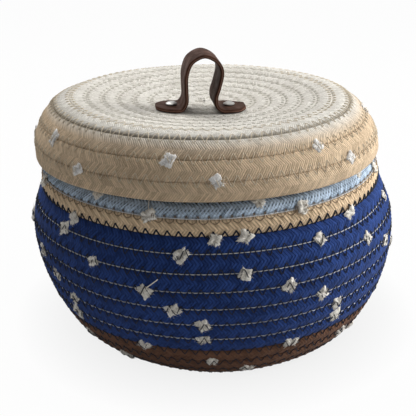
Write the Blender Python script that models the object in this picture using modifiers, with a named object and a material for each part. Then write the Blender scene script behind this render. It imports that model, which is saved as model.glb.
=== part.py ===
"""Knitting basket with a lid, coiled from flat braided cotton rope and topped by a leather pull.

The basket is one long coil: floor, bowl, natural band and light-blue neck are four dyed ropes
that butt end to end along the same rising spiral. The lid is a second coil that lies over the
neck like a cap. Fluffy white tufts of a fancy yarn sit in the seams between the turns.
Units are metres, +Z is up, and the photographed front looks along +Y from the -Y side.
"""

import math

import bmesh
import bpy
import numpy
from mathutils import Matrix, Vector

# Rope and sewing
ROPE_WIDTH = 0.0102
ROPE_THICKNESS = 0.0070
SEAM_GAP = 0.0005
FIT_GAP = 0.0003
CUT_OVERRUN = 0.003
BASE_CUT_SHARE = 0.1
SECTION_SHARES = ((0.5, 0.0), (0.28, -0.5), (-0.28, -0.5), (-0.5, 0.0), (-0.28, 0.5), (0.28, 0.5))

# Basket coil, counted in turns from the floor's centre. A lean is the way a row climbs, in
# degrees from upright: 90 lies flat and runs outward, a negative lean draws inward.
BODY_START_SHARE = 0.38
FLOOR_LEANS = (90,) * 8
BASE_WALL_LEANS = (48, 34, 26)
BLUE_LEANS = (22, 14, 9, 3, -3, -19, -32)
NATURAL_LEANS = (8,)
LIGHT_BLUE_LEANS = (-50, -24, -6, 0)
NECK_TURNS = 3
WIDEST_HEIGHT = 0.068
SIDE_DRIFT_SHARE = 0.035

# Lid coil, counted in turns from the disc's centre down to the edge of the rim
LID_START_SHARE = 0.23
LID_DISC_LEANS = (89, 89, 88, 87, 85, 84, 83, 83, 95)
LID_RIM_LEANS = (143, 158, 179, 179)
LID_RIM_TURNS = 3
LID_EDGE_HEIGHT = 0.1510
LID_SHIFT = -0.0015

# Facets of the coils
FACETS_PER_TURN = 24
INNER_FACETS_PER_TURN = 12
FIRST_TURN = 0.75
COARSE_TURNS = 4
COLOUR_CHANGE_SHARE = 0.5

# The white yarn that is sewn into the seams, with a fluffy tuft at every length of its spacing.
# The tufts that show at the front are given seam by seam, in degrees from +X towards +Y.
YARN_RADIUS = 0.0006
TUFT_SPACING = 0.089
TUFT_LENGTH = 0.0092
TUFT_RADIUS = 0.0027
TUFT_CORE_SHARE = 0.42
TUFT_OUTLINE = ((-1, YARN_RADIUS), (-TUFT_CORE_SHARE, TUFT_RADIUS),
                (TUFT_CORE_SHARE, TUFT_RADIUS), (1, YARN_RADIUS))
BODY_TUFT_DEGREES = (
    (-123, -78), (-138, -90, -41), (-112, -65), (-136, -92, -50), (-135, -92, -50),
    (-143, -100, -57), (-152, -108, -67, -24), (-167, -124, -80, -37), (-138, -97, -56, -14),
    (-135, -88, -42), (-107, -61, -18))
LID_TUFT_DEGREES = ((-146, -100, -52), (-130, -86, -40))
YARN_LEAD_SHARE = 0.02
YARN_TAIL_SHARE = 0.12

# Leather pull and its fixings
STRAP_WIDTH = 0.0250
STRAP_THICKNESS = 0.0023
STRAP_HALF_SPAN = 0.0282
STRAP_RISE = 0.0339
STRAP_TWIST = math.radians(9)
STRAP_ROWS = 46
STRAP_COLUMNS = 2
STRAP_SETBACK = 0.0240
STRAP_SIDE_SHIFT = -0.0030
STRAP_PATH_SHARES = (
    (-1.0, 0.0), (-0.83, 0.0), (-0.66, 0.0), (-0.5, 0.0), (-0.41, 0.04), (-0.34, 0.17), (-0.345, 0.41),
    (-0.333, 0.65), (-0.22, 0.88), (0.057, 1.0), (0.333, 0.9), (0.436, 0.71), (0.376, 0.44),
    (0.305, 0.24), (0.33, 0.08), (0.46, 0.0), (0.58, 0.0), (0.72, 0.0), (0.86, 0.0), (1.0, 0.03))
STRAP_NOSE_SHARE = 0.06
SCREW_INSET = 0.0100
SCREW_HEAD_RADIUS = 0.0036
SCREW_HEAD_HEIGHT = 0.0016
POST_RADIUS = 0.0016
WASHER_RADIUS = 0.0060
WASHER_THICKNESS = 0.0010
NUT_RADIUS = 0.0034
NUT_HEIGHT = 0.0022
POST_END = 0.0005
ROUND_STEPS = 20

# Colours as plain linear RGB
BROWN = (0.062, 0.036, 0.024)
BLUE = (0.014, 0.040, 0.210)
NATURAL = (0.560, 0.440, 0.290)
LIGHT_BLUE = (0.300, 0.430, 0.640)
CREAM = (0.680, 0.620, 0.520)
COTTON = (0.720, 0.690, 0.640)
LEATHER = (0.085, 0.036, 0.028)
STEEL = (0.560, 0.550, 0.540)

PITCH = ROPE_WIDTH + SEAM_GAP
TURN_SLACK = 1e-9
FRONT = -math.pi / 2
FLOOR_ROWS = len(FLOOR_LEANS)
BLUE_START = FLOOR_ROWS + len(BASE_WALL_LEANS) + COLOUR_CHANGE_SHARE
NATURAL_START = BLUE_START + len(BLUE_LEANS)
LIGHT_BLUE_START = NATURAL_START + len(NATURAL_LEANS)
BODY_END = LIGHT_BLUE_START + NECK_TURNS
LID_ROWS = len(LID_DISC_LEANS)
LID_END = LID_ROWS + LID_RIM_TURNS + COLOUR_CHANGE_SHARE


def direction(lean):
    """Unit step of a lean in the upright plane, as radius and height."""
    return Vector((math.sin(math.radians(lean)), math.cos(math.radians(lean))))


class Coil:
    """A rope wound in rows, which turns its flat side little by little from row to row.

    Row k is centred on turn k at the front. At every angle round the axis, neighbouring rows
    lie one pitch apart along their leans, so their edges stay a seam gap from each other.
    """

    def __init__(self, start_share, height, leans, sense, shift):
        self.start = Vector((start_share * PITCH, height))
        self.leans = leans
        self.sense = sense
        self.shift = shift

    def lean(self, turn):
        """Lean of the rope at a turn count, even between one row and the next."""
        index = min(max(int(turn) - 1, 0), len(self.leans) - 2)
        share = min(max(turn - 1 - index, 0), 1)
        return self.leans[index] * (1 - share) + self.leans[index + 1] * share

    def row(self, turn):
        """Radius and height of the rope's centre line at a turn count."""
        steps = max(int(turn) - 1, 0)
        first = turn - steps
        centre = self.start + PITCH * (first - 0.5) * direction(self.leans[0])
        for step in range(steps):
            here, after = self.lean(first + step), self.lean(first + step + 1)
            centre += PITCH / 2 * (direction(here) + direction(after))
        return centre

    def turn_at(self, degrees, seam):
        """Turn count nearest to a seam's number where the rope stands at an angle."""
        return seam + self.sense * (degrees - math.degrees(FRONT)) / 360

    def stand(self, turn, spot):
        """A point of the upright plane in space; the stack of rows drifts aside as it rises."""
        side = self.shift - SIDE_DRIFT_SHARE * (spot.y - WIDEST_HEIGHT)
        angle = FRONT + self.sense * 2 * math.pi * turn
        return Vector((side + spot.x * math.cos(angle), spot.x * math.sin(angle), spot.y))

    def facet(self, turn):
        """The two facet corners that a turn count lies between."""
        count = INNER_FACETS_PER_TURN if turn < COARSE_TURNS else FACETS_PER_TURN
        low = math.floor(turn * count + TURN_SLACK) / count
        return low, low + 1 / count

    def point(self, turn, seated=None):
        """The centre line on the straight facet at a turn count, or what is seated on its seam."""
        low, high = self.facet(turn)
        ends = []
        for corner in (low, high):
            spot = self.row(corner)
            if seated:
                lean, after = self.lean(corner), self.lean(corner + 1)
                spot = spot + PITCH / 2 * direction(lean)
                along = (direction(lean) + direction(after)).normalized()
                out = Vector((along.y, -along.x)) * self.sense
                spot = spot + out * seat(*seated, self.sense * (after - lean))
            ends.append(self.stand(corner, spot))
        return ends[0].lerp(ends[1], (turn - low) / (high - low))

    def run(self, first, last):
        """Turn counts of all the points of a rope from first to last."""
        turns = [first]
        _, turn = self.facet(first)
        while turn < last - TURN_SLACK:
            turns.append(turn)
            _, turn = self.facet(turn)
        turns.append(last)
        return turns

    def section(self, turn):
        """Corners of the rope's section in its upright plane, as radius and height."""
        along = direction(self.lean(turn))
        out = Vector((along.y, -along.x))
        middle = self.row(turn)
        return [middle + along * (x * ROPE_WIDTH) + out * (y * ROPE_THICKNESS)
                for x, y in SECTION_SHARES]


def seat(radius, widest, fold):
    """How far outside a seam a round thing lies: down in the groove, or over the rope's flats.

    The fold is the angle between the two rows, in degrees, positive where the outside is hollow.
    A place of a swelling takes the way that its widest place takes, and so clears both rows.
    """
    (edge, _), (flat, crest) = SECTION_SHARES[0], SECTION_SHARES[-1]
    half_fold = math.radians(fold / 2)
    wall = math.atan2((edge - flat) * ROPE_WIDTH, crest * ROPE_THICKNESS) - half_fold
    side = SEAM_GAP / 2 * math.cos(half_fold)
    rise = SEAM_GAP / 2 * math.sin(half_fold)

    def inside(size):
        return (size + FIT_GAP - side * math.cos(wall)) / math.sin(wall) + rise

    def over(size):
        return (crest * ROPE_THICKNESS + FIT_GAP + size) / math.cos(half_fold)

    if wall > 0 and inside(widest) < over(widest):
        return inside(radius)
    return over(radius)


def distance_to_edge(point, first, second):
    """Distance from a point to the straight edge between two others, in one plane."""
    edge = second - first
    share = min(max((point - first).dot(edge) / edge.dot(edge), 0), 1)
    return (point - first - edge * share).length


def least_gap(coil, first, last):
    """Least gap between a coil's neighbouring turns, measured at every facet corner."""
    least = math.inf
    for turn in coil.run(first, last - 1):
        one, two = coil.section(turn), coil.section(turn + 1)
        for near, far in ((one, two), (two, one)):
            for point in near:
                for index, end in enumerate(far):
                    least = min(least, distance_to_edge(point, far[index - 1], end))
    return least


def material(name, colour, roughness, metallic=0.0):
    """A plain Principled material."""
    made = bpy.data.materials.new(name)
    made.use_nodes = True
    shader = made.node_tree.nodes["Principled BSDF"]
    shader.inputs["Base Color"].default_value = (*colour, 1)
    shader.inputs["Roughness"].default_value = roughness
    shader.inputs["Metallic"].default_value = metallic
    return made


def evaluated_mesh(thing):
    """A free copy of an object's mesh as its modifiers leave it, with close points merged."""
    graph = bpy.context.evaluated_depsgraph_get()
    mesh = bpy.data.meshes.new_from_object(thing.evaluated_get(graph))
    work = bmesh.new()
    work.from_mesh(mesh)
    bmesh.ops.remove_doubles(work, verts=work.verts, dist=FIT_GAP / 100)
    work.to_mesh(mesh)
    work.free()
    return mesh


def place(name, data, collection, finish=None):
    """Put a mesh or a curve into a collection as a named object."""
    thing = bpy.data.objects.new(name, data)
    collection.objects.link(thing)
    if finish:
        data.materials.append(finish)
    return thing


def guide(thing):
    """Mark an object as a cutter or a guide that isn't part of the basket."""
    thing.hide_render = True
    thing.display_type = "WIRE"
    return thing


def cut(thing, cutter, finish):
    """Take a cutter out of an object with a Boolean and keep the result as a plain mesh."""
    step = thing.modifiers.new("cut", "BOOLEAN")
    step.operation = "DIFFERENCE"
    step.solver = "EXACT"
    step.object = cutter
    mesh = evaluated_mesh(thing)
    mesh.materials.clear()
    name, collection = thing.name, thing.users_collection[0]
    bpy.data.objects.remove(thing)
    return place(name, mesh, collection, finish)


def rope_section(collection):
    """The flat-oval outline that every rope is drawn through."""
    outline = bpy.data.curves.new("rope_section", "CURVE")
    outline.dimensions = "2D"
    spline = outline.splines.new("POLY")
    spline.points.add(len(SECTION_SHARES) - 1)
    for point, (x, y) in zip(spline.points, SECTION_SHARES):
        point.co = (x * ROPE_WIDTH, y * ROPE_THICKNESS, 0, 1)
    spline.use_cyclic_u = True
    return guide(place("rope_section", outline, collection))


def floor_cutter(collection):
    """A block under the floor that cuts the lowest rope flat where the basket stands."""
    span = 4 * PITCH * (FLOOR_ROWS + 2)
    slab = bmesh.new()
    sink = Matrix.Translation((0, 0, -span / 2)) @ Matrix.Scale(span, 4)
    bmesh.ops.create_cube(slab, size=1, matrix=sink)
    below = bpy.data.meshes.new("floor_cut")
    slab.to_mesh(below)
    slab.free()
    return guide(place("floor_cut", below, collection))


def rope(name, coil, first, last, section, collection, finish):
    """One rope of a coil: an unbroken tube whose flat side follows the lean of its row."""
    turns = coil.run(first, last)
    path = bpy.data.curves.new(name, "CURVE")
    path.dimensions = "3D"
    path.twist_mode = "Z_UP"
    spline = path.splines.new("POLY")
    spline.points.add(len(turns) - 1)
    for point, turn in zip(spline.points, turns):
        point.co = (*coil.point(turn), 1)
        point.tilt = coil.sense * math.radians(coil.lean(turn) - 90)
    path.bevel_mode = "OBJECT"
    path.bevel_object = section
    path.use_fill_caps = True
    return place(name, path, collection, finish)


def as_mesh(thing, finish):
    """Turn a curve object into a mesh object of the same name and place."""
    mesh = evaluated_mesh(thing)
    mesh.materials.clear()
    name, collection, matrix = thing.name, thing.users_collection[0], thing.matrix_world.copy()
    bpy.data.objects.remove(thing)
    made = place(name, mesh, collection, finish)
    made.matrix_world = matrix
    return made


def smooth(thing):
    """Shade a round piece smooth, with its sharp edges kept."""
    thing.data.shade_smooth()
    thing.data.set_sharp_from_angle(angle=math.radians(40))
    return thing


def turned(name, profile, spot, collection, finish):
    """A turned solid: a profile of radius and height, spun about the upright line at a spot."""
    half = bpy.data.meshes.new(name + "_profile")
    edges = [(index, index + 1) for index in range(len(profile) - 1)]
    half.from_pydata([(radius, 0, height) for radius, height in profile], edges, [])
    spun = place(name + "_profile", half, collection)
    step = spun.modifiers.new("turn", "SCREW")
    step.steps = ROUND_STEPS
    step.render_steps = ROUND_STEPS
    step.use_merge_vertices = True
    step.merge_threshold = FIT_GAP / 100
    mesh = evaluated_mesh(spun)
    bpy.data.objects.remove(spun)
    mesh.transform(Matrix.Translation(spot))
    return place(name, mesh, collection, finish)


def tuft_turns(coil, first, last, seam, degrees):
    """Turn counts of a yarn's tufts: those that show, and between them the hidden ones."""
    shown = sorted(coil.turn_at(angle, seam + row)
                   for row, angles in enumerate(degrees) for angle in angles)
    found = []
    marks = [first] + shown + [last]
    for low, high in zip(marks, marks[1:]):
        length = (high - low) * 2 * math.pi * coil.row(low).x
        count = max(round(length / TUFT_SPACING), 1)
        found += [low + (high - low) * index / count for index in range(count)]
    return found[1:]


def yarn(name, coil, first, last, seam, degrees, collection, finish):
    """The yarn of a coil's seams: one thin tube that rises and swells to a tuft on its facets."""
    spots = []
    tufts = tuft_turns(coil, first, last, seam, degrees)
    turns = coil.run(first, last)
    for low, high in zip(turns, turns[1:]):
        spots.append((low, YARN_RADIUS, YARN_RADIUS))
        lead = YARN_LEAD_SHARE * (high - low)
        half = TUFT_LENGTH / (4 * math.pi * coil.row(low).x)
        free = low
        for tuft in [turn for turn in tufts if low <= turn < high]:
            middle = max(min(tuft, high - lead - half), free + lead + half)
            if middle + half < high:
                for share, radius in TUFT_OUTLINE:
                    spots.append((middle + share * half, radius, TUFT_RADIUS))
                free = middle + half
    spots.append((last, YARN_RADIUS, YARN_RADIUS))
    path = bpy.data.curves.new(name, "CURVE")
    path.dimensions = "3D"
    path.twist_mode = "Z_UP"
    spline = path.splines.new("POLY")
    spline.points.add(len(spots) - 1)
    for point, (turn, radius, widest) in zip(spline.points, spots):
        point.co = (*coil.point(turn, (radius, widest)), 1)
        point.radius = radius / YARN_RADIUS
    path.bevel_depth = YARN_RADIUS
    path.bevel_resolution = 0
    path.use_fill_caps = True
    centres = numpy.array([tuple(point.co[:3]) for point in spline.points])
    counts, radii, _ = numpy.array(spots).T
    apart = numpy.linalg.norm(centres[:, None] - centres[None], axis=2) - radii[:, None] - radii
    apart = apart[abs(counts[:, None] - counts) > 0.5]
    print(f"least gap of {name} to itself, mm:", round(float(apart.min()) * 1000, 2))
    return place(name, path, collection, finish)


def spline_point(points, share):
    """A point on the smooth curve through a list of points, at a share of its length in steps."""
    place_at = share * (len(points) - 1)
    index = min(int(place_at), len(points) - 2)
    t = place_at - index
    before, here = points[max(index - 1, 0)], points[index]
    there, after = points[index + 1], points[min(index + 2, len(points) - 1)]
    return (here * 2 + (there - before) * t + (before * 2 - here * 5 + there * 4 - after) * t * t
            + (here * 3 - before - there * 3 + after) * t * t * t) / 2


def strap(name, base, cutters, collection, finish):
    """The leather pull: a flat band bent into a loop, with rounded feet that are screwed down."""
    path = [Vector((x * STRAP_HALF_SPAN, z * STRAP_RISE)) for x, z in STRAP_PATH_SHARES]
    band = bmesh.new()
    bmesh.ops.create_grid(band, x_segments=STRAP_ROWS, y_segments=STRAP_COLUMNS, size=0.5)
    nose = STRAP_WIDTH / 2
    spots = [spline_point(path, index / STRAP_ROWS) for index in range(STRAP_ROWS + 1)]
    lengths = [0]
    for one, two in zip(spots, spots[1:]):
        lengths.append(lengths[-1] + (two - one).length)
    for vertex in band.verts:
        row = round((vertex.co.x + 0.5) * STRAP_ROWS)
        end = min(lengths[row], lengths[-1] - lengths[row]) + STRAP_NOSE_SHARE * nose
        reach = min(end / nose, 1)
        side = vertex.co.y * STRAP_WIDTH * math.sqrt(1 - (1 - reach) ** 2)
        middle = spots[row]
        vertex.co = base + Vector((middle.x - side * math.tan(STRAP_TWIST), side, middle.y))
    mesh = bpy.data.meshes.new(name)
    band.to_mesh(mesh)
    band.free()
    made = place(name, mesh, collection, finish)
    thick = made.modifiers.new("leather", "SOLIDIFY")
    thick.thickness = STRAP_THICKNESS
    thick.offset = 0
    thick.use_even_offset = True
    for cutter in cutters:
        made = cut(made, cutter, finish)
    return smooth(made)


def main():
    for thing in list(bpy.data.objects):
        bpy.data.objects.remove(thing)
    parts = bpy.data.collections.new("knitting_basket")
    helpers = bpy.data.collections.new("cutters_and_guides")
    for collection in (parts, helpers):
        bpy.context.scene.collection.children.link(collection)

    brown = material("brown_rope", BROWN, 0.9)
    blue = material("blue_rope", BLUE, 0.85)
    natural = material("natural_rope", NATURAL, 0.9)
    light_blue = material("light_blue_rope", LIGHT_BLUE, 0.88)
    cream = material("cream_rope", CREAM, 0.92)
    cotton = material("cotton_tuft", COTTON, 0.95)
    leather = material("brown_leather", LEATHER, 0.5)
    steel = material("steel", STEEL, 0.3, 1.0)

    # The basket's coil, from the floor's centre up to the end of the neck
    floor_height = ROPE_THICKNESS * (0.5 - BASE_CUT_SHARE)
    body_leans = (FLOOR_LEANS + BASE_WALL_LEANS + BLUE_LEANS + NATURAL_LEANS
                  + LIGHT_BLUE_LEANS)
    body = Coil(BODY_START_SHARE, floor_height, body_leans, 1, 0)
    section = rope_section(helpers)
    half_facet = 0.5 / FACETS_PER_TURN
    joints = [FIRST_TURN] + [turn + half_facet
                             for turn in (BLUE_START, NATURAL_START, LIGHT_BLUE_START)] + [BODY_END]
    ropes = (("base_rope", brown), ("blue_rope", blue), ("natural_band_rope", natural),
             ("light_blue_rope", light_blue))
    for index, (name, finish) in enumerate(ropes):
        first, last = joints[index], joints[index + 1]
        if index > 0:
            first += FIT_GAP / (4 * math.pi * body.row(first).x)
        if index < len(ropes) - 1:
            last -= FIT_GAP / (4 * math.pi * body.row(last).x)
        made = rope(name, body, first, last, section, parts, finish)
        if index == 0:
            made = as_mesh(made, finish)
            smooth(cut(made, floor_cutter(helpers), finish))
    least = least_gap(body, FIRST_TURN, BODY_END)
    print("least gap in the basket's coil, mm:", round(least * 1000, 3))

    # The lid's coil, wound the other way as seen from above
    rise = sum(PITCH * math.cos(math.radians(lean)) for lean in LID_DISC_LEANS)
    lid = Coil(LID_START_SHARE, LID_EDGE_HEIGHT - rise, LID_DISC_LEANS + LID_RIM_LEANS, -1, LID_SHIFT)
    least = least_gap(lid, FIRST_TURN, LID_END)
    print("least gap in the lid's coil, mm:", round(least * 1000, 3))

    # The pull stands in front of the lid's middle, on the highest rope under its feet
    feet_turn = math.hypot(STRAP_HALF_SPAN, STRAP_SETBACK + STRAP_WIDTH / 2) / PITCH + 0.5
    feet_height = (lid.row(feet_turn - LID_START_SHARE).y + ROPE_THICKNESS / 2 + FIT_GAP
                   + STRAP_THICKNESS / 2)
    middle = lid.shift - SIDE_DRIFT_SHARE * (LID_EDGE_HEIGHT - WIDEST_HEIGHT)
    base = Vector((middle + STRAP_SIDE_SHIFT, -STRAP_SETBACK, feet_height))
    screw_reach = STRAP_HALF_SPAN - SCREW_INSET
    screw_turn = math.hypot(screw_reach, STRAP_SETBACK) / PITCH - 0.5
    under = lid.row(screw_turn - LID_START_SHARE).y - ROPE_THICKNESS / 2 - FIT_GAP - base.z
    hole = POST_RADIUS + FIT_GAP
    top = STRAP_THICKNESS / 2 + FIT_GAP
    washer_low = under - WASHER_THICKNESS
    nut_low = washer_low - FIT_GAP - NUT_HEIGHT
    made = as_mesh(rope("lid_rope", lid, FIRST_TURN, LID_END, section, parts, cream), cream)
    bores = []
    for side, word in ((-1, "left"), (1, "right")):
        spot = base + Vector((side * screw_reach, 0, 0))
        shaft = [(0, top + CUT_OVERRUN), (hole, top + CUT_OVERRUN), (hole, nut_low), (0, nut_low)]
        bores.append(guide(turned(f"screw_bore_{word}", shaft, spot, helpers, None)))
        made = cut(made, bores[-1], cream)
        head = [(0, top + SCREW_HEAD_HEIGHT),
                (SCREW_HEAD_RADIUS * 0.6, top + SCREW_HEAD_HEIGHT * 0.9),
                (SCREW_HEAD_RADIUS, top + SCREW_HEAD_HEIGHT * 0.4), (SCREW_HEAD_RADIUS, top),
                (POST_RADIUS, top), (POST_RADIUS, nut_low - POST_END), (0, nut_low - POST_END)]
        smooth(turned(f"handle_screw_{word}", head, spot, parts, steel))
        for kind, outer, high, low in (
                ("washer", WASHER_RADIUS, under, washer_low),
                ("nut", NUT_RADIUS, washer_low - FIT_GAP, nut_low)):
            ring = [(hole, high), (outer, high), (outer, low), (hole, low), (hole, high)]
            smooth(turned(f"handle_{kind}_{word}", ring, spot, parts, steel))
    smooth(made)
    strap("handle_strap", base, bores, parts, leather)

    # The tufted yarns lie in the seams, from the first wall row up to the lid and round its rim
    first_seam = FLOOR_ROWS + 1
    yarn("tufted_yarn_basket", body, first_seam - YARN_TAIL_SHARE,
         first_seam + len(BODY_TUFT_DEGREES) - 0.5 + YARN_TAIL_SHARE, first_seam,
         BODY_TUFT_DEGREES, parts, cotton)
    yarn("tufted_yarn_lid", lid, LID_ROWS + 0.5, LID_END - 1 - YARN_TAIL_SHARE, LID_ROWS + 1,
         LID_TUFT_DEGREES, parts, cotton)


main()
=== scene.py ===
"""Looks of a knitting basket coiled from braided cotton rope, with a lid and a leather pull."""

import math

import bpy
import numpy as np
from mathutils import Matrix, Vector


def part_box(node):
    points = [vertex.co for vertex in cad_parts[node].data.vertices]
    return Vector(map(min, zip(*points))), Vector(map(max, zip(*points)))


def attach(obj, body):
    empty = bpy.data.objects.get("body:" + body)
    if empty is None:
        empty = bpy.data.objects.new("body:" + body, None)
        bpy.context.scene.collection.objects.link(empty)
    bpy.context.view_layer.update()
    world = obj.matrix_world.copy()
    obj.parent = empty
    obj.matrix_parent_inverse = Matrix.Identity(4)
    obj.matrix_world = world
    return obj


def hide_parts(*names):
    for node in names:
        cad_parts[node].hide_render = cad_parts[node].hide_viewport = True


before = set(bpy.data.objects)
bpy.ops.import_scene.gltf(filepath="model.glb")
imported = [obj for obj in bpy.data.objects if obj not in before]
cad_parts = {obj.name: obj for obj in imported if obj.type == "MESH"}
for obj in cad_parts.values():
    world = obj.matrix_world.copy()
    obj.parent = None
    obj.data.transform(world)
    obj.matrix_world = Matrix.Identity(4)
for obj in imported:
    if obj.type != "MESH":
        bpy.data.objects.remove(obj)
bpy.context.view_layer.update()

# Braided rope. Every row of the basket is one flat-oval cord of braided cotton, sewn edge to edge
# to the row before it, so that their edges press into each other. Its strands run in chevrons
# along the row, and the zigzag stitches pull the cord in between the needle holes.
ROPE_WIDTH = 0.0113
ROPE_THICKNESS = 0.0073
ROPE_SQUARENESS = 4.2
ROW_PITCH = 0.0107
STRAND = 0.00208
STRAND_HEIGHT = 0.00018
STRAND_SLOPE = 0.75
SAMPLES_PER_STRAND = 3
STRAND_PROFILE = (1.0, 0.1, -0.9)
SECTION_DEGREES = (0, 20, 42, 66, 90, 114, 138, 160, 180, 216, 252, 288, 324)
STITCH = 3 * STRAND
STITCH_UP = 0.0024
STITCH_DOWN = 0.0031
FOLD_SEAM = (8.55, 9.45)
RIM_GAP_SHARE = 0.3
FOLD_GAP_WIDTH = 0.00035
FOLD_GAP_DEPTH = 0.0005
BAND_STITCHES = (17.5, 18.5, 0.0046, 0.0012)
NECK_STITCHES = (18.5, 19.5, 0.0003, 0.0016)
LID_SQUARENESS = 6.5
LID_STRAND = 0.00140
LID_STITCH_SHARE = 0.2
STITCH_GROOVE = 0.00045
GROOVE_WIDTH = 0.0006
HOLE_DEPTH = 0.0011
HOLE_WIDTH = 0.0007
RIM_DASH_LEVEL = -0.6
FADE_LENGTH = 0.008
SIDEWAYS_SWELL_SHARE = 0.3
MITRE_POWER = 3
COIL_SAMPLES = 6000
FRONT = -math.pi / 2
WIDEST_HEIGHT = 0.068
SIDE_DRIFT_SHARE = 0.035
HAND_SWAY = 0.00045
SWAY_RADIUS = 0.09
SWAY_WAVES = ((1.0, 3, 30), (0.6, 7, -50))
RISE_SHARE, RISE_WAVES, RISE_PHASE, RISE_HEIGHT = 0.7, 2, 1.3, 0.03
SHOULDER_LOW, SHOULDER_HIGH, SHOULDER_RADIUS, SHOULDER_POWER = 0.132, 0.151, 0.100, 3


class Coil:
    """Rows of rope that climb by leans, in degrees from upright; 90 lies flat and runs outward."""

    def __init__(self, start, height, leans, sense, shift, first, last, drawn=0.0,
                 squareness=ROPE_SQUARENESS, strand=STRAND):
        self.start, self.height, self.leans, self.drawn = start, height, leans, drawn
        self.squareness, self.strand = squareness, strand
        self.sense, self.shift, self.first, self.last = sense, shift, first, last
        self.turns = np.linspace(first, last, COIL_SAMPLES)
        self.lengths = self.measure(*self.middle(self.turns))
        self.seams = self.measure(*self.seam(self.turns)[:2])

    def lean(self, turn):
        """The lean, in radians, goes evenly from each row's value to the next one's."""
        return np.radians(np.interp(turn, np.arange(1, len(self.leans) + 1), self.leans))

    def middle(self, turn):
        """Radius and height of the rope's middle: the start plus half a pitch along the lean of
        each row that is left and half a pitch along the lean of each row that is reached."""
        turn = np.asarray(turn, float)
        rows = np.maximum(turn.astype(int) - 1, 0)
        first = turn - rows
        lean = self.lean(np.ones(1))[0]
        radius = self.start + ROW_PITCH * (first - 0.5) * math.sin(lean)
        height = self.height + ROW_PITCH * (first - 0.5) * math.cos(lean)
        for row in range(len(self.leans)):
            here, after = self.lean(first + row), self.lean(first + row + 1)
            half = np.where(row < rows, ROW_PITCH / 2, 0)
            radius = radius + half * (np.sin(here) + np.sin(after))
            height = height + half * (np.cos(here) + np.cos(after))
        return radius, height

    def seam(self, turn):
        """Radius and height of the seam after a row, and the way out of it as a unit step."""
        radius, height = self.middle(turn)
        lean, after = self.lean(turn), self.lean(np.asarray(turn) + 1)
        radius = radius + ROW_PITCH / 2 * np.sin(lean)
        height = height + ROW_PITCH / 2 * np.cos(lean)
        along_r, along_z = np.sin(lean) + np.sin(after), np.cos(lean) + np.cos(after)
        size = np.hypot(along_r, along_z)
        return radius, height, self.sense * along_z / size, -self.sense * along_r / size

    def measure(self, radius, height):
        """Length along a line of the coil, added up from step to step."""
        step = 2 * math.pi * (self.turns[1] - self.turns[0])
        aside = np.hypot(np.diff(radius), np.diff(height))
        ahead = np.hypot(step * (radius[1:] + radius[:-1]) / 2, aside)
        return np.append(0, np.cumsum(ahead))

    def stitches(self, turn):
        """Count of zigzag stitches along the seam after a row."""
        return np.interp(turn, self.turns, self.seams) / STITCH

    def angle(self, turn):
        return FRONT + self.sense * 2 * math.pi * turn

    def place(self, turn, radius, height):
        """Points in space: the stack drifts aside as it rises, sways as hand work does, is pressed
        flat where it stands, and has its shoulder drawn in."""
        angle = self.angle(turn)
        raised = np.clip((height - SHOULDER_LOW) / (SHOULDER_HIGH - SHOULDER_LOW), 0, 1)
        radius = radius - self.drawn * raised * np.clip(radius / SHOULDER_RADIUS, 0, 1) ** SHOULDER_POWER
        sway = HAND_SWAY * np.clip(radius / SWAY_RADIUS, 0, 1) ** 2
        radius = radius + sway * sum(share * np.sin(waves * angle + climb * height)
                                     for share, waves, climb in SWAY_WAVES)
        rise = sway * RISE_SHARE * np.sin(RISE_WAVES * angle + RISE_PHASE)
        height = height + rise * np.clip(height / RISE_HEIGHT, 0, 1)
        side = self.shift - SIDE_DRIFT_SHARE * (height - WIDEST_HEIGHT)
        return np.stack([side + radius * np.cos(angle), radius * np.sin(angle),
                         np.maximum(height, 0)], axis=-1)

    def on_row(self, turn, across, out):
        """A point of a row's section: across towards the next row, and out from its middle. Rows of
        the lid that meet at an angle are pressed together along the plane between them: their
        edges shift by the tangent of half that angle times out."""
        radius, height = self.middle(turn)
        lean = self.lean(turn)
        if self.sense < 0:
            share = across / (ROPE_WIDTH / 2)
            after = np.tan((self.lean(turn + 1) - lean) / 2) * np.clip(share, 0, 1) ** MITRE_POWER
            before = np.tan((lean - self.lean(turn - 1)) / 2) * np.clip(-share, 0, 1) ** MITRE_POWER
            across = across + (after - before) * out
        radius = radius + across * np.sin(lean) + self.sense * out * np.cos(lean)
        height = height + across * np.cos(lean) - self.sense * out * np.sin(lean)
        return self.place(turn, radius, height)

    def on_seam(self, turn, lift):
        """A point out of the seam after a row, with its ways out and ahead as unit vectors."""
        radius, height, out_r, out_z = self.seam(turn)
        angle = self.angle(turn)
        out = np.stack([out_r * np.cos(angle), out_r * np.sin(angle), out_z], axis=-1)
        ahead = self.sense * np.stack([-np.sin(angle), np.cos(angle), 0 * angle], axis=-1)
        return self.place(turn, radius + lift * out_r, height + lift * out_z), out, ahead


def rope_rise(coil, across):
    """Height of the rope's face above its middle: a rounded oval, |x|^n + |y|^n = 1."""
    share = np.clip(np.abs(across) / (ROPE_WIDTH / 2), 0, 1)
    return ROPE_THICKNESS / 2 * (1 - share ** coil.squareness) ** (1 / coil.squareness)


def stitch_reach(coil, seam):
    """How far above and below a seam its needle holes lie. At both edges of the natural band the
    zigzag lies mostly on the band."""
    up, down = STITCH_UP, STITCH_DOWN
    for first, last, high, low in (BAND_STITCHES, NECK_STITCHES):
        here = (coil.sense > 0) & (seam > first) & (seam < last)
        up, down = np.where(here, high, up), np.where(here, low, down)
    return up, down


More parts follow.
